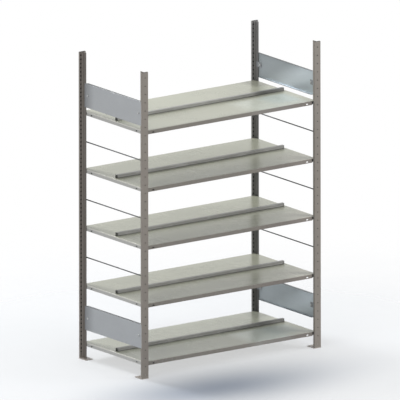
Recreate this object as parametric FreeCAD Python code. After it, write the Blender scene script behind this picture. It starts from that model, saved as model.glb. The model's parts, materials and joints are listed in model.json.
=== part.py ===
"""Double sided library shelving, one bay: T-section posts on foot plates, galvanised end
panels, side rods, and five folded shelves, each with a centre stop along its middle.

X runs along the bay, Y from its front to its rear and Z up. The origin is on the floor,
under the middle of the bay. All sizes are in millimetres.
"""

import FreeCAD, Part
import math
import os

V = FreeCAD.Vector

# ---------------------------------------------------------------- the frame's main sizes
bay_width = 1252.0  # between the centre planes of the left and right posts
frame_depth = 636.0  # between the outer faces of the front and rear posts
post_length = 1854.0
step = 25.0  # pitch of the slots, whose middles lie half a step above whole steps

# shelves, rods and panels hang at the whole step nearest to these heights
lowest_shelf = 100.0  # from the floor to the lowest shelf's top
shelf_pitch = 350.0  # from each shelf's top to the next one's
rod_rise = 150.0  # from a shelf's top to the rod above it
panel_inset = 250.0  # from the floor, or the post's top, to the middle of a panel

fit = 0.3  # clearance round a piece that is pushed into another

# ---------------------------------------------------------------- post, a roll-formed T
post_sheet = 1.5
head_width = 45.0
head_depth = 12.0
stem_reach = 45.0  # from the head's outer face to the stem's inner edge
head_bend = 2.0  # outer bend radius of the head
slot_width = 9.0
slot_height = 9.0
slot_offset = 14.0  # from the stem's middle plane to the middle of a slot
slot_margin = 12.0  # least distance from a slot's middle to an end of the post

# ---------------------------------------------------------------- foot plate
foot_width = 54.0
foot_depth = 75.0
foot_sheet = 4.0
foot_chamfer = 4.0
foot_plug_height = 30.0
anchor_hole = 9.0

# ---------------------------------------------------------------- shelf
shelf_edge_gap = 0.5  # from the inner faces of the posts' heads to the shelf's long edge
shelf_height = 24.0
shelf_sheet = 1.0
shelf_end_gap = 2.0  # between a shelf's end and the stem's face
shelf_lip = 15.0  # inward lip under each flange
shelf_return = 10.0  # the lip's inner edge, folded up again to stiffen the flange
return_end_gap = 68.0  # from the shelf's ends and edges to the ends of these returns
corner_notch = 27.0  # the long flanges stop this far from the shelf's ends
shelf_bend = 1.5  # outer bend radius along the shelf's long top edges
flange_hole = (14.0, 8.0)  # length and height of the punched holes in the flanges
flange_hole_rise = 9.0  # from the shelf's underside to the middle of a flange hole
long_hole_inset = 64.0  # from the shelf's end to the hole in its long flange
end_hole_inset = 80.0  # from the shelf's edge to the hole in its end flange

stiffener_crown = 40.0
stiffener_foot = 12.0
stiffener_height = 15.0
stiffener_setback = 20.0  # from the shelf's end to the stiffener's end

# ---------------------------------------------------------------- shelf clip
clip_sheet = 1.5
clip_width = 14.0
clip_tongue = 26.0
clip_plate = 30.0
hook_rise = 4.0
hook_drop = 4.5

# ---------------------------------------------------------------- centre stop
stop_width = 20.0
stop_height = 20.0
stop_sheet = 1.0
stop_lip = 6.0
stop_setback = 17.0  # from the shelf's end to the stop's end
tab_length = 20.0  # tabs go down from the stop's walls through slots in the shelf
tab_drop = 5.0  # from the shelf's top to the tab's end
tab_inset = 60.0  # from the stop's end to the middle of its tab

# ---------------------------------------------------------------- end panel
panel_height = 147.0
panel_sheet = 1.5
panel_lip = 12.0
panel_lap = 12.0  # length of the panel that lies on the stem
lip_setback = 6.0  # from the stem's edge to the end of the panel's lips

clamp_height = 30.0
clamp_sheet = 1.5
clamp_on_stem = 20.0
clamp_on_panel = 30.0
joggle = 4.0
bolt_from_stem = 19.0  # from the stem's inner edge to the bolt
bolt_neck = 6.0  # side of the square neck, in square holes
bolt_width = 10.0  # across the flats of the head and of the nut
bolt_head_height = 4.0
nut_height = 5.0

# ---------------------------------------------------------------- side rod
rod_diameter = 7.0
rod_play = 2.0  # between a rod's end and the far wall of the head it goes into

# ---------------------------------------------------------------- sizes that follow
stem_sheet = 2 * post_sheet  # the stem is the post's sheet, folded double
stem_face = stem_sheet / 2  # from the middle plane to either face of the stem
post_top = foot_sheet + post_length
shelf_length = bay_width - stem_sheet - 2 * shelf_end_gap
shelf_depth = frame_depth - 2 * (head_depth + shelf_edge_gap)
stop_length = shelf_length - 2 * stop_setback
bolt_hole = bolt_neck + 2 * fit

os.makedirs("parts", exist_ok=True)


# ---------------------------------------------------------------- helpers
def save(name, *solids):
    """Write one node: a single solid, or a group of separate ones."""
    shape = solids[0] if len(solids) == 1 else Part.makeCompound(list(solids))
    shape.exportStep(f"parts/{name}.step")


def box(x, y, z):
    """A box from three (low, high) pairs."""
    size = (x[1] - x[0], y[1] - y[0], z[1] - z[0])
    return Part.makeBox(*size, V(x[0], y[0], z[0]))


def prism(points, along):
    """A solid with the closed outline given, extruded along a vector."""
    outline = Part.makePolygon([V(*p) for p in points + points[:1]])
    return Part.Face(outline).extrude(V(*along))


def folded(path, sheet, along):
    """Folded sheet metal. The path is the line of one face, and the sheet lies to the
    side that the sign of its thickness gives."""
    line = Part.makePolygon([V(*p) for p in path])
    section = line.makeOffset2D(sheet, join=2, fill=True, openResult=True)
    return section.extrude(V(*along))


def around(middle, size):
    """A (low, high) pair from a middle and a size."""
    return (middle - size / 2, middle + size / 2)


def cut_all(shape, tools):
    return shape.cut(Part.makeCompound(tools))


def upright_edges(solid, places):
    """The solid's vertical edges that stand at the (x, y) places given."""
    found = []
    for edge in solid.Edges:
        a, b = (vertex.Point for vertex in edge.Vertexes[:2])
        if math.hypot(a.x - b.x, a.y - b.y) > 1e-6:
            continue
        if any(math.hypot(a.x - x, a.y - y) < 1e-6 for x, y in places):
            found.append(edge)
    return found


def at_side(shape, side):
    """Carry a piece drawn at the left side (-1), or its mirror image at the right (1).
    It is drawn with X = 0 on the posts' middle plane and +X into the bay."""
    if side > 0:
        shape = shape.mirror(V(0, 0, 0), V(1, 0, 0))
    return shape.translated(V(side * bay_width / 2, 0, 0))


def at_corner(shape, side, end):
    """Carry a piece drawn at the front left post to one of the four corners. It is drawn
    with Y = 0 on the outer face of the post's head and +Y into the frame."""
    if end > 0:
        shape = shape.mirror(V(0, 0, 0), V(0, 1, 0))
    return at_side(shape.translated(V(0, end * frame_depth / 2, 0)), side)


sides = {"left": -1, "right": 1}
ends = {"front": -1, "rear": 1}
corners = [(side, end) for side in sides.values() for end in ends.values()]


# ---------------------------------------------------------------- what hangs at which step
def nearest_step(height):
    return round(height / step)


def slot_height_at(k):
    """The height of the middle of the slot that lies above whole step k."""
    return (k + 0.5) * step


panel_steps = {
    "lower": nearest_step(panel_inset),
    "upper": nearest_step(post_top - panel_inset),
}
room_for_shelves = panel_steps["upper"] * step - panel_height / 2 - lowest_shelf
shelf_count = math.floor(room_for_shelves / shelf_pitch) + 1
shelf_tops = [lowest_shelf + i * shelf_pitch for i in range(shelf_count)]
shelf_steps = [nearest_step(top) for top in shelf_tops]
rod_steps = [nearest_step(top + rod_rise) for top in shelf_tops[1:-1]]


# ---------------------------------------------------------------- post
def post_blank():
    """The closed T: a flat hollow head and the doubled sheet of the stem."""
    w, s = head_width / 2, stem_face
    half = [(-w, 0), (-w, head_depth), (-s, head_depth), (-s, stem_reach)]
    outline = half + [(-x, y) for x, y in reversed(half)]
    solid = prism([(x, y, foot_sheet) for x, y in outline], (0, 0, post_length))
    bends = [(x, y) for x in (-w, w) for y in (0, head_depth)]
    solid = solid.makeFillet(head_bend, upright_edges(solid, bends))
    hollow = box(
        (-w + post_sheet, w - post_sheet),
        (post_sheet, head_depth - post_sheet),
        (foot_sheet, post_top),
    )
    return solid.cut(hollow)


def post():
    """The blank with its two columns of slots, in the returns beside the stem."""
    slots = []
    first = math.ceil((foot_sheet + slot_margin) / step - 0.5)
    last = math.floor((post_top - slot_margin) / step - 0.5)
    through_return = around(head_depth - post_sheet / 2, 2 * post_sheet)
    for k in range(first, last + 1):
        z = around(slot_height_at(k), slot_height)
        for x in (-slot_offset, slot_offset):
            slots.append(box(around(x, slot_width), through_return, z))
    return cut_all(post_blank(), slots)


# ---------------------------------------------------------------- foot plate
def foot():
    """A flat plate with an anchor hole inside the frame and a plug for the post's head."""
    w = foot_width / 2
    plate = box((-w, w), (0, foot_depth), (0, foot_sheet))
    plate_corners = [(x, y) for x in (-w, w) for y in (0, foot_depth)]
    plate = plate.makeChamfer(foot_chamfer, upright_edges(plate, plate_corners))
    anchor_y = (stem_reach + foot_depth) / 2
    anchor = Part.makeCylinder(anchor_hole / 2, foot_sheet, V(0, anchor_y, 0))
    plug_w = head_width / 2 - post_sheet - fit
    plug = box(
        (-plug_w, plug_w),
        (post_sheet + fit, head_depth - post_sheet - fit),
        (0, foot_sheet + foot_plug_height),
    )
    return plate.cut(anchor).fuse(plug).removeSplitter()


# ---------------------------------------------------------------- shelf
def shelf(top):
    """A tray turned upside down: long flanges that stop at the corner notches, end
    flanges, and under each a lip whose inner edge is folded up."""
    x, y = shelf_length / 2, shelf_depth / 2
    inner_x, inner_y = x - shelf_sheet, y - shelf_sheet
    roof, floor = top - shelf_sheet, top - shelf_height + shelf_sheet
    cross = [
        (-x, -inner_y + shelf_lip, floor + shelf_return),
        (-x, -inner_y + shelf_lip, floor),
        (-x, -inner_y, floor),
        (-x, -inner_y, roof),
        (-x, inner_y, roof),
        (-x, inner_y, floor),
        (-x, inner_y - shelf_lip, floor),
        (-x, inner_y - shelf_lip, floor + shelf_return),
    ]
    tray = folded(cross, -shelf_sheet, (shelf_length, 0, 0))
    long_edges = [e for e in tray.Edges if top_edge(e, y, top)]
    tray = tray.makeFillet(shelf_bend, long_edges)
    below, inside = (floor - shelf_height, roof), (floor, roof)
    lip_x, lip_y = inner_x - shelf_lip, inner_y - shelf_lip
    notches = []
    for side, end in corners:
        length = sorted((side * (x + fit), side * (x - corner_notch)))
        depth = sorted((end * (y + fit), end * (lip_y - fit)))
        notches.append(box(length, depth, below))
        length = sorted((side * (x + fit), side * (x - return_end_gap)))
        depth = around(end * (lip_y - shelf_sheet / 2), 2 * shelf_sheet)
        notches.append(box(length, depth, inside))
    end_path = [
        (-lip_x, -inner_y, floor + shelf_return),
        (-lip_x, -inner_y, floor),
        (-inner_x, -inner_y, floor),
        (-inner_x, -inner_y, roof),
    ]
    end_flange = folded(end_path, -shelf_sheet, (0, 2 * inner_y, 0))
    lip_ends = []
    for end in ends.values():
        depth = sorted((end * inner_y, end * lip_y))
        lip_ends.append(box((-inner_x, 0), depth, below))
        depth = sorted((end * inner_y, end * (y - return_end_gap)))
        lip_ends.append(box(around(-lip_x + shelf_sheet / 2, 2 * shelf_sheet), depth, inside))
    end_flange = cut_all(end_flange, lip_ends)
    end_flanges = [end_flange, end_flange.mirror(V(0, 0, 0), V(1, 0, 0))]
    whole = cut_all(tray, notches).fuse(end_flanges).removeSplitter()
    return cut_all(whole, shelf_holes(top))


def top_edge(edge, y, top):
    """Whether an edge runs along X on the shelf's top, at its front or its rear."""
    size = edge.BoundBox
    level = abs(size.ZMin - top) < 1e-6 and size.XLength > shelf_depth / 2
    return level and abs(abs(size.YMin) - y) < 1e-6 and size.YLength < 1e-6


def shelf_holes(top):
    """The punched holes in all four flanges, and the slots for the centre stop's tabs."""
    x, y = shelf_length / 2, shelf_depth / 2
    length, height = flange_hole
    z = around(top - shelf_height + flange_hole_rise, height)
    through = 4 * shelf_sheet
    holes = []
    for side, end in corners:
        long_x, end_y = side * (x - long_hole_inset), end * (y - end_hole_inset)
        holes.append(box(around(long_x, length), around(end * y, through), z))
        holes.append(box(around(side * x, through), around(end_y, length), z))
    for tab_x, tab_y in tab_places():
        slot = around(tab_x, tab_length + 2 * fit), around(tab_y, stop_sheet + 2 * fit)
        holes.append(box(*slot, around(top, through)))
    return holes


def stiffener(top):
    """A hat section along the middle of the shelf, under its top sheet."""
    x = shelf_length / 2 - stiffener_setback
    roof, crown = top - shelf_sheet, top - shelf_sheet - stiffener_height
    w, outer = stiffener_crown / 2, stiffener_crown / 2 + stiffener_foot
    path = [
        (-x, -outer, roof),
        (-x, -w, roof),
        (-x, -w, crown),
        (-x, w, crown),
        (-x, w, roof),
        (-x, outer, roof),
    ]
    return folded(path, shelf_sheet, (2 * x, 0, 0))


# ---------------------------------------------------------------- shelf clip
def clip(shelf_step):
    """A bracket on the head's inner face. Its hook hangs in the slot just below the
    shelf's top, and its tongue carries the shelf's corner."""
    roof = shelf_step * step - shelf_sheet
    face, c = head_depth, clip_sheet
    x = slot_offset - clip_width / 2
    path = [
        (x, face + clip_tongue, roof - c),
        (x, face + c, roof - c),
        (x, face + c, roof - clip_plate),
    ]
    bracket = folded(path, c, (clip_width, 0, 0))
    sill = slot_height_at(shelf_step - 1) - slot_height / 2
    behind = face - post_sheet - fit
    hook_width = slot_width - 2 * fit
    x = slot_offset - hook_width / 2
    outline = [
        (x, face + c / 2, sill),
        (x, face + c / 2, sill + hook_rise),
        (x, behind - c, sill + hook_rise),
        (x, behind - c, sill - hook_drop),
        (x, behind, sill - hook_drop),
        (x, behind, sill),
    ]
    hook = prism(outline, (hook_width, 0, 0))
    return bracket.fuse(hook).removeSplitter()


# ---------------------------------------------------------------- centre stop
def tab_places():
    """The middle of each tab: one near each end of both of a stop's walls."""
    x = stop_length / 2 - tab_inset
    y = (stop_width - stop_sheet) / 2
    return [(side * x, end * y) for side, end in corners]


def centre_stop(top):
    """A channel with its open side down. It stands on two inward lips, and its tabs go
    through the shelf."""
    x = stop_length / 2
    inner = stop_width / 2 - stop_sheet
    low, high = top + stop_sheet, top + stop_height - stop_sheet
    path = [
        (-x, -inner + stop_lip, low),
        (-x, -inner, low),
        (-x, -inner, high),
        (-x, inner, high),
        (-x, inner, low),
        (-x, inner - stop_lip, low),
    ]
    channel = folded(path, -stop_sheet, (stop_length, 0, 0))
    for tab_x, tab_y in tab_places():
        tab = around(tab_x, tab_length), around(tab_y, stop_sheet)
        channel = channel.fuse(box(*tab, (top - tab_drop, low)))
    return channel.removeSplitter()


# ---------------------------------------------------------------- end panel
def panel(level):
    """A flat sheet on the outer faces of the stems, with lips folded into the frame
    along the part of it between them."""
    half = panel_height / 2
    face = -stem_face
    lapped = frame_depth / 2 - stem_reach + panel_lap
    lipped = frame_depth / 2 - stem_reach - lip_setback
    low, high = level - half + panel_sheet, level + half - panel_sheet
    path = [
        (face + panel_lip, -lipped, low),
        (face, -lipped, low),
        (face, -lipped, high),
        (face + panel_lip, -lipped, high),
    ]
    tray = folded(path, panel_sheet, (0, 2 * lipped, 0))
    web = box((face - panel_sheet, face), (-lapped, lapped), (low, high))
    bolt_y = frame_depth / 2 - stem_reach - bolt_from_stem
    holes = [bolt_hole_at(end * bolt_y, level) for end in ends.values()]
    return cut_all(tray.fuse(web).removeSplitter(), holes)


def bolt_hole_at(y, level):
    """A square hole right through the panel or its clamp."""
    sides_of_hole = around(y, bolt_hole), around(level, bolt_hole)
    return box(around(-stem_face, 4 * panel_sheet), *sides_of_hole)


def clamp(level):
    """A strap with a joggle. One leg is bolted to the panel, and the other holds the
    stem against it."""
    z = level - clamp_height / 2
    path = [
        (stem_face, stem_reach - clamp_on_stem, z),
        (stem_face, stem_reach + fit, z),
        (-stem_face, stem_reach + fit + joggle, z),
        (-stem_face, stem_reach + clamp_on_panel, z),
    ]
    strap = folded(path, clamp_sheet, (0, 0, clamp_height))
    return strap.cut(bolt_hole_at(stem_reach + bolt_from_stem, level))


def bolt(level):
    """A hexagon bolt with a square neck and its nut, through the panel and the clamp."""
    y = stem_reach + bolt_from_stem
    outer = -stem_face - panel_sheet
    inner = -stem_face + clamp_sheet
    head = hexagon(outer - bolt_head_height, y, level, bolt_head_height)
    neck = box((outer, inner), around(y, bolt_neck), around(level, bolt_neck))
    nut = hexagon(inner, y, level, nut_height)
    return head.fuse([neck, nut]).removeSplitter()


def hexagon(x, y, z, height):
    """A hexagonal prism along X, from x on, with two corners up and down."""
    radius = bolt_width / math.sqrt(3)
    turns = [math.radians(30 + 60 * k) for k in range(6)]
    outline = [(x, y + radius * math.cos(a), z + radius * math.sin(a)) for a in turns]
    return prism(outline, (height, 0, 0))


# ---------------------------------------------------------------- side rod
def side_rod(height):
    """A straight round rod whose ends lie in the slots of the front and rear heads, at
    the edge of the slots nearest the shelves."""
    x = slot_offset + slot_width / 2 - fit - rod_diameter / 2
    z = height - slot_height / 2 + fit + rod_diameter / 2
    y = frame_depth / 2 - post_sheet - rod_play
    return Part.makeCylinder(rod_diameter / 2, 2 * y, V(x, -y, z), V(0, 1, 0))


# ---------------------------------------------------------------- build every node
post_blueprint, foot_blueprint = post(), foot()
for side_name, side in sides.items():
    for end_name, end in ends.items():
        corner = f"{end_name}_{side_name}"
        save(f"post_{corner}", at_corner(post_blueprint, side, end))
        save(f"foot_{corner}", at_corner(foot_blueprint, side, end))
    for number, k in enumerate(rod_steps, 1):
        rod = side_rod(slot_height_at(k))
        save(f"side_rod_{side_name}_{number}", at_side(rod, side))
    for row, k in panel_steps.items():
        name = f"{side_name}_{row}"
        level = k * step
        save(f"end_panel_{name}", at_side(panel(level), side))
        save(f"panel_clamps_{name}", *(at_corner(clamp(level), side, e) for e in ends.values()))
        save(f"panel_bolts_{name}", *(at_corner(bolt(level), side, e) for e in ends.values()))

for number, k in enumerate(shelf_steps, 1):
    top = k * step
    save(f"shelf_{number}", shelf(top))
    save(f"shelf_stiffener_{number}", stiffener(top))
    save(f"shelf_clips_{number}", *(at_corner(clip(k), *corner) for corner in corners))
    save(f"centre_stop_{number}", centre_stop(top))
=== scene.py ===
"""Double sided library shelving, one bay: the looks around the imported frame.

The sections follow the bay as it is put together: floor and light, posts, feet, end
panels with their clamps and bolts, side rods, shelf clips, shelves and centre stops.
All lengths are in metres.
"""

import json
import math

import bmesh
import bpy
from mathutils import Matrix, Vector

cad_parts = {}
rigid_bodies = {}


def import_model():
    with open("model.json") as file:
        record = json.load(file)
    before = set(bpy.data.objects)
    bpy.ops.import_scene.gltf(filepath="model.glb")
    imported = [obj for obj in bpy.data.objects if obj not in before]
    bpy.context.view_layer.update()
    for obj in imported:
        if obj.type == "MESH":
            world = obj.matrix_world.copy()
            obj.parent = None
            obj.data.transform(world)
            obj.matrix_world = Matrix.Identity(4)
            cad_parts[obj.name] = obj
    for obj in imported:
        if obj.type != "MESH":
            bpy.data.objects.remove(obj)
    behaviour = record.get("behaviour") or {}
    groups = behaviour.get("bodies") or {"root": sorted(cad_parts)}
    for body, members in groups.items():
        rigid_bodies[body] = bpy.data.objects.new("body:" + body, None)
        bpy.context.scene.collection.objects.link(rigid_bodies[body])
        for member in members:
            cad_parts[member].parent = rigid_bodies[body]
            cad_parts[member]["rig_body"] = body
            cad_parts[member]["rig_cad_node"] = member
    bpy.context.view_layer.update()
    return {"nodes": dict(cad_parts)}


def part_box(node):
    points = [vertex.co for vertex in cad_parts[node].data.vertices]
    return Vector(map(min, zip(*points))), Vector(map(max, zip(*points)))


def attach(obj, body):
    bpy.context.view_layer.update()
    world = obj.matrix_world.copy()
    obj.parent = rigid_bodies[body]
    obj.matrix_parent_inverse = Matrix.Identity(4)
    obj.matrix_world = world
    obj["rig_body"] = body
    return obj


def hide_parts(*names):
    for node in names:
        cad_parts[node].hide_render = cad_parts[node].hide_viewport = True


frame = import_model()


# ------------------------------------------------------------------ camera, floor and light
# A plain studio: a pale floor that runs out into a white background, one large soft lamp
# high up behind the bay, one at its front right, one at its left, one under the ceiling,
# and an even glow.
view_turn = math.radians(-35.94)
view_rise = math.radians(14.22)
view_lean = math.radians(-0.085)
view_width = 2.3513
view_middle = Vector((0.0012, -0.0005, 0.9268))
view_distance = 8.0

towards_camera = Vector((
    math.sin(view_turn) * math.cos(view_rise),
    -math.cos(view_turn) * math.cos(view_rise),
    math.sin(view_rise),
))
bpy.ops.object.camera_add(location=view_middle + view_distance * towards_camera)
camera = bpy.context.object
camera.name = "studio_camera"
aim = Matrix.Rotation(view_turn, 3, "Z") @ Matrix.Rotation(math.pi / 2 - view_rise, 3, "X")
camera.rotation_euler = (aim @ Matrix.Rotation(view_lean, 3, "Z")).to_euler()
camera.data.type = "ORTHO"
camera.data.ortho_scale = view_width
camera.data.clip_end = 60.0
bpy.context.scene.camera = camera
bpy.context.scene.view_settings.view_transform = "Standard"


class Signal:
    """A value that changes over a surface: arithmetic on it adds Math nodes."""

    def __init__(self, finish, socket):
        self.finish = finish
        self.socket = socket

    def reckon(self, operation, *terms):
        return self.finish.node("Math", {"operation": operation}, dict(enumerate(terms)))

    def __add__(self, other):
        return self.reckon("ADD", self, other)

    def __radd__(self, other):
        return self.reckon("ADD", other, self)

    def __sub__(self, other):
        return self.reckon("SUBTRACT", self, other)

    def __rsub__(self, other):
        return self.reckon("SUBTRACT", other, self)

    def __mul__(self, other):
        return self.reckon("MULTIPLY", self, other)

    def __rmul__(self, other):
        return self.reckon("MULTIPLY", other, self)

    def __mod__(self, other):
        return self.reckon("FLOORED_MODULO", self, other)

    def __abs__(self):
        return self.reckon("ABSOLUTE", self)

    def rise(self, low, high):
        """0 below low, 1 above high, and a smooth rise between them."""
        settings = {"interpolation_type": "SMOOTHSTEP"}
        inputs = {"Value": self, "From Min": low, "From Max": high}
        return self.finish.node("MapRange", settings, inputs)

    def between(self, way_in, way_out):
        """Rises from 0 to 1 over the first span of values, and falls over the second."""
        return self.rise(*way_in) * (1 - self.rise(*way_out))


class Finish:
    """One material or world, whose nodes all come from the node method."""

    def __init__(self, owner):
        owner.use_nodes = True
        self.owner = owner
        self.tree = owner.node_tree
        self.tree.nodes.clear()

    def node(self, kind, settings, inputs, output=0):
        """Add a node: its settings come first, then the values or links of its sockets."""
        made = self.tree.nodes.new("ShaderNode" + kind)
        for name, value in settings.items():
            setattr(made, name, value)
        for name, value in inputs.items():
            if isinstance(value, Signal):
                self.tree.links.new(value.socket, made.inputs[name])
            else:
                made.inputs[name].default_value = value
        return Signal(self, made.outputs[output]) if made.outputs else None

    def colour_mix(self, share, first, second):
        inputs = {"Factor": share, 6: first, 7: second}
        return self.node("Mix", {"data_type": "RGBA"}, inputs, output=2)

    def place(self, centre=(0, 0, 0), scale=(1, 1, 1)):
        """The piece's own coordinates, centred and scaled."""
        own = self.node("TexCoord", {}, {}, output="Object")
        shift = [-c * s for c, s in zip(centre, scale)]
        return self.node("Mapping", {}, {"Vector": own, "Location": shift, "Scale": scale})

    def noise(self, place, scale, detail=2.0, roughness=0.5):
        inputs = {"Vector": place, "Scale": scale, "Detail": detail, "Roughness": roughness}
        return self.node("TexNoise", {}, inputs)

    def axis(self, place, name):
        return self.node("SeparateXYZ", {}, {"Vector": place}, output=name)

    def from_origin(self, place):
        return self.node("VectorMath", {"operation": "LENGTH"}, {0: place}, output="Value")

    def surface(self, inputs, height, strength, depth):
        """Close the material with a Principled surface in a fine relief."""
        bump = {"Height": height, "Strength": strength, "Distance": depth}
        relief = self.node("Bump", {}, bump, output="Normal")
        body = self.node("BsdfPrincipled", {}, {**inputs, "Normal": relief})
        self.node("OutputMaterial", {}, {"Surface": body})
        return self.owner


def rgb(red, green, blue):
    return (red, green, blue, 1.0)


bay_middle = Vector((0, 0, 0.8))
for name, place, width, watts, colour in (
    ("key_lamp", (-1.3, 5.35, 5.1), 2.0, 296, (1.0, 0.995, 0.98)),
    ("right_lamp", (5.2, -4.35, 2.6), 4.4, 285, (1.0, 0.985, 0.965)),
    ("left_lamp", (-6.35, -2.3, 2.6), 4.4, 165, (1.0, 0.99, 0.98)),
    ("ceiling_lamp", (0, 0.2, 7.8), 4.4, 115, (1.0, 0.99, 0.97)),
):
    bpy.ops.object.light_add(type="AREA", location=place)
    lamp = bpy.context.object
    lamp.name = name
    lamp.rotation_euler = (bay_middle - Vector(place)).to_track_quat("-Z", "Y").to_euler()
    lamp.data.shape = "DISK"
    lamp.data.size = width
    lamp.data.energy = watts
    lamp.data.color = colour

# The lens and the polished metal see a white screen; the rest gets the even glow.
glow = Finish(bpy.data.worlds.new("studio_world"))
bpy.context.scene.world = glow.owner
even_glow = glow.node("Background", {}, {"Color": rgb(0.95, 0.98, 1.0), "Strength": 0.24})
white_screen = glow.node("Background", {}, {"Color": rgb(1, 1, 1), "Strength": 1.0})
camera_ray, glossy_ray, clear_ray = (
    glow.node("LightPath", {}, {}, output=f"Is {kind} Ray")
    for kind in ("Camera", "Glossy", "Transmission")
)
seen = camera_ray + glossy_ray + clear_ray
backdrop = glow.node("MixShader", {}, {"Fac": seen, 1: even_glow, 2: white_screen})
glow.node("OutputWorld", {}, {"Surface": backdrop})

# The floor thins out to nothing away from the bay. A cooler pool of shade lies under the
# bay and to its front left.
floor_radius = 7.0
floor_level = -0.0002  # just under the soles of the feet
floor_darker, floor_lighter = rgb(0.74, 0.79, 0.86), rgb(0.80, 0.83, 0.88)
fade_from, fade_to = 0.9, 3.2
thin_near = 0.54
pool_middle, pool_scale = (-0.42, -0.74, 0), (0.62, 1.35, 1)
pool_reach = 0.85
pool_shade = rgb(0.22, 0.27, 0.36)
pool_depth = 0.42
bpy.ops.mesh.primitive_circle_add(
    vertices=96, radius=floor_radius, fill_type="NGON", location=(0, 0, floor_level)
)
floor = bpy.context.object
floor.name = "studio_floor"
bpy.ops.object.transform_apply()
ground = Finish(bpy.data.materials.new("studio_floor_paint"))
spot = ground.place()
clouding = ground.noise(spot, 1.3, 3.0)
pool = ground.place(centre=pool_middle, scale=pool_scale)
in_pool = 1 - ground.from_origin(pool).rise(0.0, pool_reach)
tone = ground.colour_mix(clouding, floor_darker, floor_lighter)
tone = ground.colour_mix(in_pool, tone, pool_shade)
fade = (ground.from_origin(spot) + 0.4 * clouding).rise(fade_from, fade_to)
thinned = thin_near + (1 - thin_near) * fade - pool_depth * in_pool
matt = ground.node("BsdfPrincipled", {}, {"Base Color": tone, "Roughness": 0.6})
away = ground.node("BsdfTransparent", {}, {})
carpet = ground.node("MixShader", {}, {"Fac": thinned, 1: matt, 2: away})
ground.node("OutputMaterial", {}, {"Surface": carpet})
floor.data.materials.append(ground.owner)


# ------------------------------------------------------------------ posts
# Roll-formed steel, enamelled warm grey: a flat hollow head with a doubled stem. Slots for
# hooks are punched in both returns, and a row of round holes down the middle of the face.
sides = {"left": -1, "right": 1}
ends = {"front": -1, "rear": 1}
face_hole_radius = 0.0034
face_hole_pitch = 0.050
lowest_face_hole = 0.025
face_sheet = 0.0015
head_depth = 0.012
head_wall = 0.0014  # a little under the sheet, so that its inner face counts as hollow
blur = 0.0004  # half the width of a soft boundary
post_colour = (0.276, 0.246, 0.217)
# painted shade: a cooler grey for the rear right post
cool_shade_grey = rgb(0.285, 0.287, 0.298)
deep_shade = rgb(0.004, 0.004, 0.005)

post_low, post_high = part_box("post_front_left")
post_middle = (post_low.x + post_high.x) / 2
outer_face = -post_low.y
inner_face = outer_face - head_depth
hollow_half = (post_high.x - post_low.x) / 2 - head_wall


def tint(colour, share):
    """A colour made lighter or darker."""
    return rgb(*(share * part for part in colour))


def enamel(name, colour, scuffs=None, tones=None, roughness=0.30):
    """Baked enamel on steel: faint clouding, orange peel, and scuffs where they are given.
    The scuffs, from 0 to 1, thin the colour and dull the gloss. The tones shade it."""
    paint = Finish(bpy.data.materials.new(name))
    spot = paint.place()
    clouding = paint.noise(spot, 2.3, 4.0)
    speckle = paint.noise(spot, 240.0, 2.0)
    peel = paint.noise(spot, 620.0, 2.0)
    cloudy = clouding.rise(0.3, 0.7)
    dusted = 0.35 * speckle.rise(0.45, 0.75)
    shade = paint.colour_mix(cloudy, tint(colour, 0.94), tint(colour, 1.05))
    shade = paint.colour_mix(dusted, shade, tint(colour, 0.82))
    roughness = roughness + 0.10 * clouding + 0.05 * speckle
    if scuffs:
        worn = scuffs(paint, spot)
        rubbed = rgb(*(0.5 * part + 0.28 for part in colour))
        shade = paint.colour_mix(worn, shade, rubbed)
        roughness = roughness + 0.18 * worn
    if tones:
        shade = tones(paint, spot, shade)
    inputs = {"Base Color": shade, "Roughness": roughness, "IOR": 1.5}
    return paint.surface(inputs, peel, 0.12, 0.0004)


def post_tones(paint, spot, shade):
    """The inner sides are painted darker, most on the rear posts, and the hollow of the
    head is
    painted near black: painted shade. The rear right post is painted a cooler grey: painted
    shade."""
    x, y = paint.axis(spot, "X"), paint.axis(spot, "Y")
    rear = y.rise(0.0, 0.1)
    rear_right = rear * x.rise(0.0, 0.1)
    # painted shade: the rear right post is painted a cooler grey
    shade = paint.colour_mix(0.7 * rear_right, shade, cool_shade_grey)
    outwards, across = abs(y), abs(abs(x) - abs(post_middle))
    inner_side = 1 - outwards.rise(inner_face - blur, inner_face + blur)
    past_back = (inner_face + 0.0010, inner_face + 0.0016)
    short_of_front = (outer_face - 0.0013, outer_face - 0.0006)
    hollow = outwards.between(past_back, short_of_front)
    hollow = hollow * (1 - across.rise(hollow_half, hollow_half + 0.0010))
    # painted shade on the inner sides, more on the rear posts
    inner_side_shade = (0.20 + 0.18 * rear) * inner_side
    # painted shade: the hollow of the head goes near black
    post_shade = 1 - (1 - inner_side_shade) * (1 - 0.95 * hollow)
    return paint.colour_mix(post_shade, shade, deep_shade)


def post_scuffs(paint, spot):
    """Hook scratches: short upright strokes in patches, up and down the posts."""
    stretched = paint.place(scale=(420, 420, 38))
    strokes = paint.noise(stretched, 1.0, 3.0).rise(0.60, 0.74)
    patches = paint.noise(spot, 6.0, 2.0).rise(0.50, 0.68)
    return 0.55 * strokes * patches


def only(thing):
    """Make one object the selected and active one."""
    bpy.ops.object.select_all(action="DESELECT")
    thing.select_set(True)
    bpy.context.view_layer.objects.active = thing


def rename(thing, name):
    thing.name = name
    thing.data.name = name
    return thing


def copy_of(thing, name):
    only(thing)
    bpy.ops.object.duplicate(linked=False)
    return rename(bpy.context.object, name)


def solid_copy(node, name):
    """A copy of one of the frame's nodes, no longer tagged as one, whose loose triangles
    are joined into one closed mesh."""
    copied = copy_of(frame["nodes"][node], name)
    copied.parent = None
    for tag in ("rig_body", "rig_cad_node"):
        if tag in copied:
            del copied[tag]
    bpy.ops.object.mode_set(mode="EDIT")
    bpy.ops.mesh.select_all(action="SELECT")
    bpy.ops.mesh.remove_doubles(threshold=1e-6)
    bpy.ops.object.mode_set(mode="OBJECT")
    return copied


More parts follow.
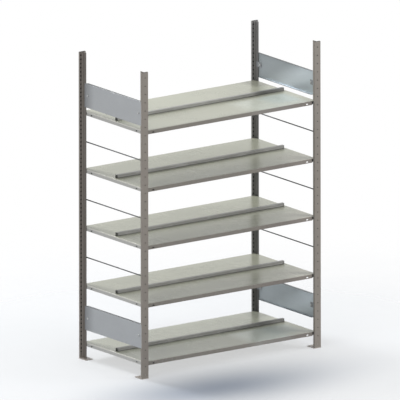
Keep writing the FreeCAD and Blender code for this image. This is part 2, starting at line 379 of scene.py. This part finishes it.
def settle(thing, move=(0, 0, 0), turn=0.0):
    """Turn a piece about the origin and move it, and put its place in its mesh."""
    thing.rotation_mode = "XYZ"
    thing.rotation_euler = (0, 0, turn)
    thing.location = Vector(move)
    only(thing)
    bpy.ops.object.transform_apply(location=True, rotation=True, scale=True)


def join_all(things, name):
    only(things[0])
    for thing in things:
        thing.select_set(True)
    bpy.ops.object.join()
    return rename(bpy.context.object, name)


def modify(thing, kind, **settings):
    """Add a modifier and apply it."""
    only(thing)
    bpy.ops.object.modifier_add(type=kind)
    step = thing.modifiers[-1]
    for name, value in settings.items():
        setattr(step, name, value)
    bpy.ops.object.modifier_apply(modifier=step.name)


def combine(thing, tool, operation):
    """Cut a tool out of a piece, or fuse it on, and delete the tool."""
    modify(thing, "BOOLEAN", operation=operation, solver="EXACT", object=tool)
    bpy.data.objects.remove(tool)


def even_shading(thing):
    """Smooth the bends and keep the flats flat."""
    only(thing)
    bpy.ops.object.shade_smooth_by_angle(angle=math.radians(35))
    modify(thing, "WEIGHTED_NORMAL", keep_sharp=True)


def dress(thing, material):
    thing.data.materials.clear()
    thing.data.materials.append(material)


def barrel(place, radius, length, axis, corners):
    """A prism or cylinder about a place, with its axis along X or Y."""
    turn = (0, math.pi / 2, 0) if axis == "X" else (math.pi / 2, 0, 0)
    bpy.ops.mesh.primitive_cylinder_add(
        vertices=corners, radius=radius, depth=length, location=place, rotation=turn
    )
    return bpy.context.object


drills = []
hole_height = lowest_face_hole
while hole_height < post_high.z - face_hole_pitch / 4:
    place = (post_middle, post_low.y, hole_height)
    drills.append(barrel(place, face_hole_radius, 6 * face_sheet, "Y", 16))
    hole_height += face_hole_pitch
drill = join_all(drills, "face_drill")
bpy.ops.object.transform_apply()
punched_post = solid_copy("post_front_left", "punched_post")
combine(punched_post, drill, "DIFFERENCE")
even_shading(punched_post)
dress(punched_post, enamel("post_enamel", post_colour, post_scuffs, post_tones))

for end_name, end in ends.items():
    for side_name in sides:
        node = f"post_{end_name}_{side_name}"
        post = copy_of(punched_post, node + "_enamelled")
        settle(post, turn=math.pi if end > 0 else 0.0)
        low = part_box(node)[0]
        corner = [min(v.co[i] for v in post.data.vertices) for i in range(3)]
        settle(post, move=(low.x - corner[0], low.y - corner[1], low.z - corner[2]))
        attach(post, "root")
        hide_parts(node)
bpy.data.objects.remove(punched_post)


# ------------------------------------------------------------------ feet
# A steel plate under each post, enamelled with it, with a plug for its hollow head and a
# hole for a floor anchor. The rim is rubbed bright where it has been pushed over floors.
foot_colour = (0.50, 0.455, 0.42)
plate_top = 0.004


def foot_scuffs(paint, spot):
    """Rubbed in specks on the rim, most at the floor."""
    near_floor = 1 - paint.axis(spot, "Z").rise(0.0, plate_top)
    return (0.75 * near_floor * paint.noise(spot, 90.0, 3.0)).rise(0.25, 0.6)


def dress_nodes(first_part, material):
    """Give a material to every node of the frame whose name begins so."""
    for name, node in frame["nodes"].items():
        if name.startswith(first_part):
            node.material_slots[0].material = material


dress_nodes("foot_", enamel("foot_enamel", foot_colour, foot_scuffs))


# ------------------------------------------------------------------ end panels
# Galvanised sheet across each end, high up and low down: a flat web on the outer faces of
# the stems, with a lip rolled into the bay along its top and bottom between the posts.
rows = ("lower", "upper")
panel_sheet = 0.0015
panel_lip = 0.0135
panel_bend = 0.0022
lip_end = 0.267  # the lips stop this far from the middle of the bay's depth
web_half_height = 0.072
bolt_across = 0.254  # from the middle of the bay's depth to each bolt
bolt_hole_side = 0.0066
punch_depth = 0.02
zinc_colour = (0.365, 0.38, 0.395)
# painted reflection: the paler zinc of the sheen on the panels' inner sides
painted_sheen_zinc = rgb(0.60, 0.67, 0.73)
shaded_zinc = rgb(0.285, 0.320, 0.335)
# painted shade for the folded edges, the lips and the outer side near the rear
edge_shade_zinc = rgb(0.10, 0.105, 0.11)
sheen_lean = 1.9  # how far the painted sheen's edge goes back for every metre down

panel_low, panel_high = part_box("end_panel_left_lower")
panel_level = (panel_low.z + panel_high.z) / 2
panel_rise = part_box("end_panel_left_upper")[1].z - panel_high.z
panel_outside = panel_low.x
panel_inside = panel_outside + panel_sheet
web_half_depth = panel_high.y


def galvanised(name, colour, bloom_and_sheen=1.0, roughness=0.28, tones=None):
    """Hot-dip zinc: crystals of slightly different tone and gloss, drawn out by rolling,
    with a dull bloom in patches. The tones shade it."""
    zinc = Finish(bpy.data.materials.new(name))
    spot = zinc.place()
    crystals = {"Vector": zinc.place(scale=(1.0, 0.55, 1.0)), "Scale": 105.0}
    grain = zinc.node("TexVoronoi", {}, crystals, output="Color")
    tone = zinc.node("SeparateColor", {}, {"Color": grain}, output="Red")
    patches = zinc.noise(spot, 5.0, 4.0, 0.6)
    streaks = zinc.noise(zinc.place(scale=(30, 2.2, 160)), 1.0, 3.0)
    pattern = 0.5 * tone + 0.5 * streaks
    shade = zinc.colour_mix(pattern, tint(colour, 0.94), tint(colour, 1.05))
    shade = zinc.colour_mix(bloom_and_sheen * patches.rise(0.45, 0.75), shade, tint(colour, 1.04))
    if tones:
        shade = tones(zinc, spot, shade)
    roughness = roughness + 0.10 * tone + 0.12 * patches
    inputs = {"Base Color": shade, "Roughness": roughness, "Metallic": 0.85}
    return zinc.surface(inputs, pattern, 0.05, 0.0002)


def panel_tones(zinc, spot, shade):
    """On the inner side a painted sheen of paler zinc, a painted reflection, runs across at
    a slant, from the front edge to the foot, and painted shade darkens the sheet behind it.
    The folded edges, the lips and the outer side near the rear are painted darker: painted
    shade."""
    outwards = abs(zinc.axis(spot, "X"))
    y, height = zinc.axis(spot, "Y"), zinc.axis(spot, "Z")
    above = (height - panel_level + panel_rise / 2) % panel_rise - panel_rise / 2
    sheen_edge = 0.055 * height - 0.22
    behind_sheen = y + sheen_lean * above - sheen_edge
    # painted reflection across the inner side, fainter behind it, where painted shade
    # darkens the sheet
    bloom_and_sheen = (1 - behind_sheen.rise(0.0, 0.26)) * (0.68 + 0.20 * height)
    bloom_and_sheen = bloom_and_sheen * (1 - 0.35 * (0 - behind_sheen).rise(0.04, 0.2))
    sheen_tone = zinc.colour_mix(bloom_and_sheen, shaded_zinc, painted_sheen_zinc)
    sheet_inside = abs(panel_inside)
    inner_side = 1 - outwards.rise(sheet_inside + 0.0003, sheet_inside + 0.0008)
    shade = zinc.colour_mix(0.85 * inner_side, shade, sheen_tone)
    folded = abs(above).rise(web_half_height + 0.0002, web_half_height + 0.0012)
    on_lip = 1 - outwards.rise(sheet_inside - 0.004, sheet_inside - 0.002)
    outside_rear = (1 - inner_side) * y.rise(0.18, 0.27)
    # painted shade on the folded edges, on the lips and on the outer side near the rear
    panel_shade = 1 - (1 - 0.75 * folded) * (1 - 0.6 * on_lip) * (1 - 0.35 * outside_rear)
    return zinc.colour_mix(panel_shade, shade, edge_shade_zinc)


def start_sheet(name, centre, size, turn=(0, 0, 0)):
    """A flat rectangle, in edit mode, to fold a sheet piece from."""
    bpy.ops.mesh.primitive_plane_add(size=1, location=centre, rotation=turn)
    blank = rename(bpy.context.object, name)
    blank.scale = (*size, 1)
    bpy.ops.object.transform_apply(location=True, rotation=True, scale=True)
    bpy.ops.object.mode_set(mode="EDIT")
    bpy.ops.mesh.select_mode(type="EDGE")
    return blank


def score(axis, places):
    """Cut the sheet straight across at the given places along an axis."""
    normal = [1.0 if name == axis else 0.0 for name in "XYZ"]
    for at in places:
        bpy.ops.mesh.select_all(action="SELECT")
        bpy.ops.mesh.bisect(plane_co=[n * at for n in normal], plane_no=normal)


hair = 1e-5  # places closer together than this are the same


def near(value, target):
    return abs(value - target) < hair


def within(value, limit):
    return abs(value) < limit + hair


def take_edges(test):
    """Select the edges, in edit mode, whose two ends both pass a test of place."""
    bpy.ops.mesh.select_all(action="DESELECT")
    mesh = bmesh.from_edit_mesh(bpy.context.object.data)
    for edge in mesh.edges:
        if all(test(vertex.co) for vertex in edge.verts):
            edge.select_set(True)
    bmesh.update_edit_mesh(bpy.context.object.data)


def fold(test, *steps):
    """Draw the edges that pass the test out by each step in turn."""
    take_edges(test)
    for step in steps:
        bpy.ops.mesh.extrude_region_move(TRANSFORM_OT_translate={"value": step})


def soften(thing, width, segments=2, least_turn=40):
    """Round the edges that turn by more than an angle, in degrees."""
    limit = math.radians(least_turn)
    edges = {"limit_method": "ANGLE", "angle_limit": limit}
    modify(thing, "BEVEL", width=width, segments=segments, **edges)


def press_sheet(blank, thickness, bend, outward, two_faced=False):
    """Give the folded surface its round bends and its thickness, inwards from the
    outer face. Outward is the way the largest face looks. A two-faced sheet takes its
    second material inside."""
    bpy.ops.mesh.select_all(action="SELECT")
    bpy.ops.mesh.normals_make_consistent(inside=False)
    bpy.ops.object.mode_set(mode="OBJECT")
    largest = max(blank.data.polygons, key=lambda face: face.area)
    if largest.normal.dot(Vector(outward)) < 0:
        bpy.ops.object.mode_set(mode="EDIT")
        bpy.ops.mesh.flip_normals()
        bpy.ops.object.mode_set(mode="OBJECT")
    soften(blank, bend, segments=3, least_turn=30)
    inner = 1 if two_faced else 0
    wall = {"thickness": thickness, "offset": -1, "use_even_offset": True}
    modify(blank, "SOLIDIFY", material_offset=inner, **wall)


def block(place, size):
    bpy.ops.mesh.primitive_cube_add(size=1, location=place, scale=size)
    return bpy.context.object


folded_panel = start_sheet(
    "panel_blank",
    (panel_outside, 0, panel_level),
    (2 * web_half_height, 2 * web_half_depth),
    (0, math.pi / 2, 0),
)
score("Y", (-lip_end, lip_end))
rim_height = panel_high.z - panel_level - web_half_height
for way in (-1, 1):
    web_edge = panel_level + way * web_half_height
    fold(
        lambda at: near(at.z, web_edge) and within(at.y, lip_end),
        (0, 0, way * rim_height),
        (panel_lip, 0, 0),
    )
press_sheet(folded_panel, panel_sheet, panel_bend, (-1, 0, 0))
punches = []
for end in ends.values():
    place = (panel_outside, end * bolt_across, panel_level)
    punches.append(block(place, (punch_depth, bolt_hole_side, bolt_hole_side)))
punch = join_all(punches, "bolt_punch")
bpy.ops.object.transform_apply()
combine(folded_panel, punch, "DIFFERENCE")
even_shading(folded_panel)
dress(folded_panel, galvanised("panel_zinc", zinc_colour, tones=panel_tones))

for side_name, side in sides.items():
    for row in rows:
        node = f"end_panel_{side_name}_{row}"
        panel = copy_of(folded_panel, node + "_folded")
        low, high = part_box(node)
        lift = (low.z + high.z) / 2 - panel_level
        settle(panel, move=(0, 0, lift), turn=math.pi if side > 0 else 0.0)
        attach(panel, "root")
        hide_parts(node)
bpy.data.objects.remove(folded_panel)


# ------------------------------------------------------------------ panel clamps and bolts
# Joggled straps of galvanised steel hold each panel on its stems. A flanged hexagon bolt
# goes through panel and strap from outside, and its nut is inside the bay.
clamp_colour = (0.29, 0.305, 0.32)
clamp_sheet = 0.0015
bolt_colour = (0.52, 0.53, 0.53)
flange_radius = 0.0072
flange_height = 0.0012
flange_rounding = 0.0004
hexagon_radius = 0.0056
hexagon_rounding = 0.0006
shank_radius = 0.0029

clamp_zinc = galvanised("clamp_zinc", clamp_colour, bloom_and_sheen=0.5, roughness=0.42)
dress_nodes("panel_clamps_", clamp_zinc)


def plated(name, colour):
    """Bright zinc plating with a fine mottle."""
    plate = Finish(bpy.data.materials.new(name))
    mottle = plate.noise(plate.place(), 320.0, 3.0)
    mottled = mottle.rise(0.35, 0.7)
    shade = plate.colour_mix(mottled, tint(colour, 0.80), tint(colour, 1.08))
    inputs = {"Base Color": shade, "Roughness": 0.25 + 0.2 * mottle, "Metallic": 0.9}
    return plate.surface(inputs, mottle, 0.15, 0.0002)


def turned(name, radius, start, end, corners):
    """One part of a bolt, about the X axis, from start to end."""
    place = ((start + end) / 2, 0, 0)
    made = rename(barrel(place, radius, end - start, "X", corners), name)
    bpy.ops.object.transform_apply()
    return made


bolt_low, bolt_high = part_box("panel_bolts_left_lower")
head_end, nut_end = bolt_low.x, bolt_high.x
nut_start = panel_inside + clamp_sheet
bolt = turned("hexagon_head", hexagon_radius, head_end, panel_outside, 6)
soften(bolt, hexagon_rounding)
flange = turned("flange", flange_radius, panel_outside - flange_height, panel_outside, 24)
soften(flange, flange_rounding)
combine(bolt, flange, "UNION")
shank_start = panel_outside - flange_height / 2
combine(bolt, turned("shank", shank_radius, shank_start, nut_end, 16), "UNION")
nut = turned("nut", hexagon_radius, nut_start, nut_end, 6)
soften(nut, hexagon_rounding)
combine(bolt, nut, "UNION")
even_shading(bolt)
dress(bolt, plated("bolt_plating", bolt_colour))

for side_name, side in sides.items():
    for row in rows:
        node = f"panel_bolts_{side_name}_{row}"
        low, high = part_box(node)
        level = (low.z + high.z) / 2
        pair = []
        for end in ends.values():
            fixing = copy_of(bolt, "fixing")
            place = (0, end * bolt_across, level)
            settle(fixing, move=place, turn=math.pi if side > 0 else 0.0)
            pair.append(fixing)
        bolts = join_all(pair, node + "_plated")
        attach(bolts, "root")
        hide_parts(node)
bpy.data.objects.remove(bolt)


# ------------------------------------------------------------------ side rods
# Drawn steel rod, plain zinc gone grey. Each lies in a front and a rear slot of one end,
# and keeps books from sliding out sideways.
rod_colour = (0.11, 0.113, 0.12)
dress_nodes("side_rod_", galvanised("rod_zinc", rod_colour, bloom_and_sheen=0.8, roughness=0.45))


# ------------------------------------------------------------------ shelf clips
# Small pressed brackets of zinc-plated steel, hooked into the slots of the posts. Each
# carries one corner of a shelf on its tongue.
clip_colour = (0.42, 0.42, 0.41)
dress_nodes("shelf_clips_", plated("clip_plating", clip_colour))


# ------------------------------------------------------------------ shelves
# One folded tray of thin sheet per shelf, in pebble-grey enamel, with a galvanised
# stiffener under it. The long flanges stop short of the posts. A lip and a return box in
# the foot of every flange, and holes are punched near its ends.
shelf_sheet = 0.001
shelf_bend = 0.0016
shelf_lip = 0.016
shelf_return = 0.011
long_return_inset = 0.0645  # from the tray's end to the return of its long flange
end_return_inset = 0.045  # from the tray's long edge to the return of its end flange
notch_length = 0.027
end_lip_reach = 0.2895
flange_hole_length, flange_hole_width = 0.014, 0.008
flange_hole_rise = 0.009
long_hole_inset = 0.064
end_hole_inset = 0.080
tab_slot_length, tab_slot_width = 0.0206, 0.0016
tab_inset = 0.077  # from the tray's end to the middle of each tab of the centre stop
tab_row = 0.0095  # from the middle of the tray to each row of tabs

shelf_low, shelf_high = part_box("shelf_1")
half_length, half_depth = shelf_high.x, shelf_high.y
shelf_top = shelf_high.z
flange_drop = shelf_high.z - shelf_low.z
flange_end = half_length - notch_length
shelf_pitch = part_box("shelf_2")[1].z - shelf_top
middle_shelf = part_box("shelf_3")[1].z
shelf_count = sum(name.startswith("centre_stop_") for name in frame["nodes"])

right_part = (0.10, 0.35)  # how far from the middle the right part of a shelf begins
shelf_colour = (0.468, 0.478, 0.388)
# painted sheens on the decks: painted reflections and painted light
sheen = rgb(0.68, 0.73, 0.67)
warm_sheen = rgb(0.64, 0.63, 0.53)
bluish_sheen = rgb(0.45, 0.515, 0.48)
# painted shade and a painted reflection of the floor for the long flanges
shaded_brown = rgb(0.180, 0.149, 0.140)
# painted light: the end flanges as lit from the left, and a painted highlight along their
# top bends
lit_end_grey = rgb(0.50, 0.495, 0.475)
highlight_white = rgb(0.74, 0.73, 0.67)
# a darker coat for the insides of the tray: partly a thinner coat, partly painted shade
undercoat_shade_colour = (0.36, 0.36, 0.31)
# painted shade: near black inside the boxed edges
box_shade_black = rgb(0.03, 0.03, 0.028)


def shelf_scuffs(paint, spot):
    """Faint rubbed strokes from front to rear, where books are pushed in and drawn out,
    and a thin worn line along each long edge."""
    strokes = paint.noise(paint.place(scale=(130, 5, 40)), 1.0, 3.0).rise(0.56, 0.76)
    patches = paint.noise(spot, 3.5, 3.0).rise(0.42, 0.66)
    edge = abs(paint.axis(spot, "Y")).rise(half_depth - 0.0035, half_depth - 0.0005)
    chipped = paint.noise(spot, 120.0, 3.0).rise(0.52, 0.66)
    return 0.2 * strokes * patches + 0.5 * edge * chipped


def at_either_end(level):
    """1 on the topmost and the lowest shelf, 0 on those between them."""
    return abs(level - middle_shelf).rise(0.40, 0.65)


def deck_tones(paint, spot, shade):
    """Painted shade darkens the front of the decks, most at the very edge. The outermost
    two shelves carry a painted sheen, paler and bluer, to the right of their front halves,
    and a painted dark reflection behind. The others carry a painted warm sheen in their
    front right corners, and the lowest is painted a little paler all over. Spans along and
    across are metres from the shelf's middle."""
    x, y, z = (paint.axis(spot, letter) for letter in "XYZ")
    front = 0 - y
    outermost = at_either_end(z)
    left_front = front.rise(0.0, 0.08) * (1 - x.rise(*right_part))
    rear_right = x.rise(0.49, 0.56) * y.rise(0.10, 0.20)
    # painted shade along the front of the decks and at the very edge, and a painted dark
    # reflection at the rear right of the outermost shelves
    deck_shade = 0.18 * left_front + 0.36 * front.rise(0.272, 0.298)
    deck_shade = deck_shade + 0.8 * outermost * rear_right
    shade = paint.colour_mix(deck_shade, shade, tint(shelf_colour, 0.5))
    sheen_streak = outermost * x.between((0.10, 0.25), (0.38, 0.50)) * front.rise(0.03, 0.10)
    lowest = 1 - z.rise(0.12, 0.30)
    # painted sheen on the outermost shelves, and painted light over all the lowest shelf
    shade = paint.colour_mix(sheen_streak * (1.05 - 0.38 * z) + 0.12 * lowest, shade, sheen)
    front_right = x.rise(0.38, 0.52) * front.rise(0.08, 0.22)
    # painted warm sheen in the front right corners of the shelves between
    shade = paint.colour_mix((1 - outermost) * front_right, shade, warm_sheen)
    # painted bluish sheen, a painted reflection, on the outermost shelves
    bluer = 0.7 * outermost * x.between((0.32, 0.44), (0.54, 0.60))
    bluer = bluer * front.between((0.03, 0.08), (0.20, 0.28))
    return paint.colour_mix(bluer, shade, bluish_sheen)


def shelf_tones(paint, spot, shade):
    """The long flanges are painted a darker brown, the more so at the right: painted shade
    and a painted reflection of the floor. The end flanges are painted a lighter grey,
    painted light from the left, with a painted highlight along their top edges. The boxed
    edges are painted
    dark inside: painted shade."""
    shade = deck_tones(paint, spot, shade)
    x, y, z = (paint.axis(spot, letter) for letter in "XYZ")
    below_top = (shelf_top - z) % shelf_pitch
    long_flange = abs(y).rise(half_depth - 0.0013, half_depth - 0.0002)
    # painted shade and painted floor reflection on the long flanges, more at the right
    flange_shade = (0.70 + 0.13 * x.rise(*right_part)) * long_flange
    shade = paint.colour_mix(flange_shade, shade, shaded_brown)
    end_flange = abs(x).rise(half_length - 0.0013, half_length - 0.0002)
    # painted light on the end flanges
    shade = paint.colour_mix(end_flange, shade, lit_end_grey)
    # painted highlight along the top bend of the end flanges
    bend_highlight = end_flange * (1 - below_top.rise(0.003, 0.008))
    shade = paint.colour_mix(bend_highlight, shade, highlight_white)
    past_flange, short_of_return = (0.0008, 0.0011), (0.0142, 0.0146)
    past_deck, short_of_lip = (0.0008, 0.0012), (0.0228, 0.0232)
    in_long_box = (half_depth - abs(y)).between(past_flange, short_of_return)
    in_end_box = (half_length - abs(x)).between(past_flange, short_of_return)
    in_box = 1 - (1 - in_long_box) * (1 - in_end_box)
    in_box = in_box * below_top.between(past_deck, short_of_lip)
    # painted shade inside the boxed edges
    return paint.colour_mix(0.95 * in_box, shade, deep_shade)


def undercoat_box_shade(paint, spot, shade):
    """Inside the boxed edges the undercoat is painted near black: painted shade."""
    along = abs(paint.axis(spot, "Y")).rise(half_depth - 0.0170, half_depth - 0.0155)
    across = abs(paint.axis(spot, "X")).rise(half_length - 0.0170, half_length - 0.0155)
    return paint.colour_mix(1 - (1 - along) * (1 - across), shade, box_shade_black)


tray = start_sheet("shelf_tray", (0, 0, shelf_top), (2 * half_length, 2 * half_depth))
return_x = half_length - long_return_inset
return_y = half_depth - end_return_inset
score("X", (-flange_end, -return_x, return_x, flange_end))
score("Y", (-end_lip_reach, -return_y, return_y, end_lip_reach))
flange_foot = shelf_top - flange_drop
down, up = (0, 0, -flange_drop), (0, 0, shelf_return)
for way in (-1, 1):
    long_edge, long_lip_edge = way * half_depth, way * (half_depth - shelf_lip)
    end_edge, end_lip_edge = way * half_length, way * (half_length - shelf_lip)
    fold(
        lambda at: near(at.y, long_edge) and within(at.x, flange_end),
        down,
        (0, -way * shelf_lip, 0),
    )
    fold(
        lambda at: near(at.y, long_lip_edge) and near(at.z, flange_foot)
        and within(at.x, return_x),
        up,
    )
    fold(lambda at: near(at.x, end_edge) and near(at.z, shelf_top), down)
    fold(
        lambda at: near(at.x, end_edge) and near(at.z, flange_foot)
        and within(at.y, end_lip_reach),
        (-way * shelf_lip, 0, 0),
    )
    fold(
        lambda at: near(at.x, end_lip_edge) and near(at.z, flange_foot)
        and within(at.y, return_y),
        up,
    )
shelf_enamel = enamel(
    "shelf_enamel", shelf_colour, shelf_scuffs, shelf_tones, roughness=0.20
)
dress(tray, shelf_enamel)
tray.data.materials.append(enamel("shelf_undercoat_shade", undercoat_shade_colour, tones=undercoat_box_shade))
press_sheet(tray, shelf_sheet, shelf_bend, (0, 0, 1), two_faced=True)


def oval_punch(place, along):
    """A punch with round ends, drawn out along X or Y."""
    radius = flange_hole_width / 2
    straight = flange_hole_length - flange_hole_width
    through = "Y" if along == "X" else "X"
    made = barrel(place, radius, 4 * shelf_sheet, through, 24)
    bpy.ops.object.transform_apply()
    bpy.ops.object.mode_set(mode="EDIT")
    axis = "XY".index(along)
    for way in (-1, 1):
        take_edges(lambda at: way * (at[axis] - place[axis]) > radius / 10)
        apart = [way * straight / 2 if name == along else 0.0 for name in "XYZ"]
        bpy.ops.transform.translate(value=apart)
    bpy.ops.object.mode_set(mode="OBJECT")
    return made


punches = []
hole_level = flange_foot + flange_hole_rise
for side in sides.values():
    for end in ends.values():
        long_hole = (side * (half_length - long_hole_inset), end * half_depth, hole_level)
        end_hole = (side * half_length, end * (half_depth - end_hole_inset), hole_level)
        tab_hole = (side * (half_length - tab_inset), end * tab_row, shelf_top)
        punches.append(oval_punch(long_hole, "X"))
        punches.append(oval_punch(end_hole, "Y"))
        punches.append(block(tab_hole, (tab_slot_length, tab_slot_width, 4 * shelf_sheet)))
punch = join_all(punches, "shelf_punch")
bpy.ops.object.transform_apply()
combine(tray, punch, "DIFFERENCE")
even_shading(tray)

for number in range(1, shelf_count + 1):
    node = f"shelf_{number}"
    shelf = copy_of(tray, node + "_folded")
    settle(shelf, move=(0, 0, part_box(node)[1].z - shelf_top))
    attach(shelf, "root")
    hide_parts(node)
bpy.data.objects.remove(tray)

stiffener_colour = (0.40, 0.41, 0.41)
stiffener_zinc = galvanised("stiffener_zinc", stiffener_colour, roughness=0.42)
dress_nodes("shelf_stiffener_", stiffener_zinc)


# ------------------------------------------------------------------ centre stops
# A channel of the same sheet, open side down, along the middle of each shelf: the books of
# both sides stop against it. Four tabs go through the shelf, and its ends are open.
stop_sheet = 0.001
stop_bend = 0.0015
stop_lip = 0.007
tab_length = 0.020
tab_root = 0.003  # how far each tab reaches up into its wall
tab_drop = 0.005  # and how far down through the shelf
stop_colour = (0.285, 0.285, 0.275)
lit_topmost_grey = rgb(0.45, 0.45, 0.43)
end_gloom = rgb(0.06, 0.06, 0.06)
tip_shade = rgb(0.05, 0.05, 0.05)
groove_shade = rgb(0.02, 0.02, 0.02)

stop_half, stop_side, stop_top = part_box("centre_stop_1")[1]


def stop_scuffs(paint, spot):
    """Rubbed in patches along both upper edges, where books knock against it."""
    patches = paint.noise(paint.place(scale=(14, 60, 60)), 1.0, 3.0).rise(0.5, 0.68)
    edge = abs(paint.axis(spot, "Y")).rise(stop_side - 0.0016, stop_side - 0.0004)
    return 0.6 * patches * edge


def stop_tones(paint, spot, shade):
    """The topmost stop is painted paler: painted light. Those at the top and bottom are
    painted
    darker at the right end: painted shade. The very tips of all are painted dark: painted
    shade in their open ends. The groove where each wall meets the shelf is painted dark:
    painted shade."""
    along, height = paint.axis(spot, "X"), paint.axis(spot, "Z")
    # painted light: the topmost stop is paler
    shade = paint.colour_mix(0.30 * height.rise(1.3, 1.5), shade, lit_topmost_grey)
    right_end = at_either_end(height) * along.rise(0.36, 0.46)
    # painted shade at the right end of the top and bottom stops
    shade = paint.colour_mix(right_end * (0.34 + 0.17 * height), shade, end_gloom)
    tips = abs(along).rise(stop_half - 0.006, stop_half - 0.003)
    # painted shade at the open tips
    shade = paint.colour_mix(0.7 * tips, shade, tip_shade)
    above_shelf = (height - shelf_top) % shelf_pitch
    groove = 1 - above_shelf.rise(0.0026, 0.0038)
    # painted shade in the groove where the wall meets the shelf
    return paint.colour_mix(0.85 * groove, shade, groove_shade)


rail = start_sheet("stop_rail", (0, 0, stop_top), (2 * stop_half, 2 * stop_side))
for way in (-1, 1):
    fold(
        lambda at: near(at.y, way * stop_side) and near(at.z, stop_top),
        (0, 0, shelf_top - stop_top),
        (0, -way * stop_lip, 0),
    )
press_sheet(rail, stop_sheet, stop_bend, (0, 0, 1))
tabs = []
for side in sides.values():
    for end in ends.values():
        tab_x = side * (half_length - tab_inset)
        tab_y = end * (stop_side - stop_sheet / 2)
        place = (tab_x, tab_y, shelf_top + (tab_root - tab_drop) / 2)
        tabs.append(block(place, (tab_length, stop_sheet, tab_drop + tab_root)))
tab = join_all(tabs, "stop_tabs")
bpy.ops.object.transform_apply()
combine(rail, tab, "UNION")
even_shading(rail)
dress(rail, enamel("stop_enamel", stop_colour, stop_scuffs, stop_tones))
for number in range(1, shelf_count + 1):
    node = f"centre_stop_{number}"
    stop = copy_of(rail, node + "_folded")
    settle(stop, move=(0, 0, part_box(node)[1].z - stop_top))
    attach(stop, "root")
    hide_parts(node)
bpy.data.objects.remove(rail)
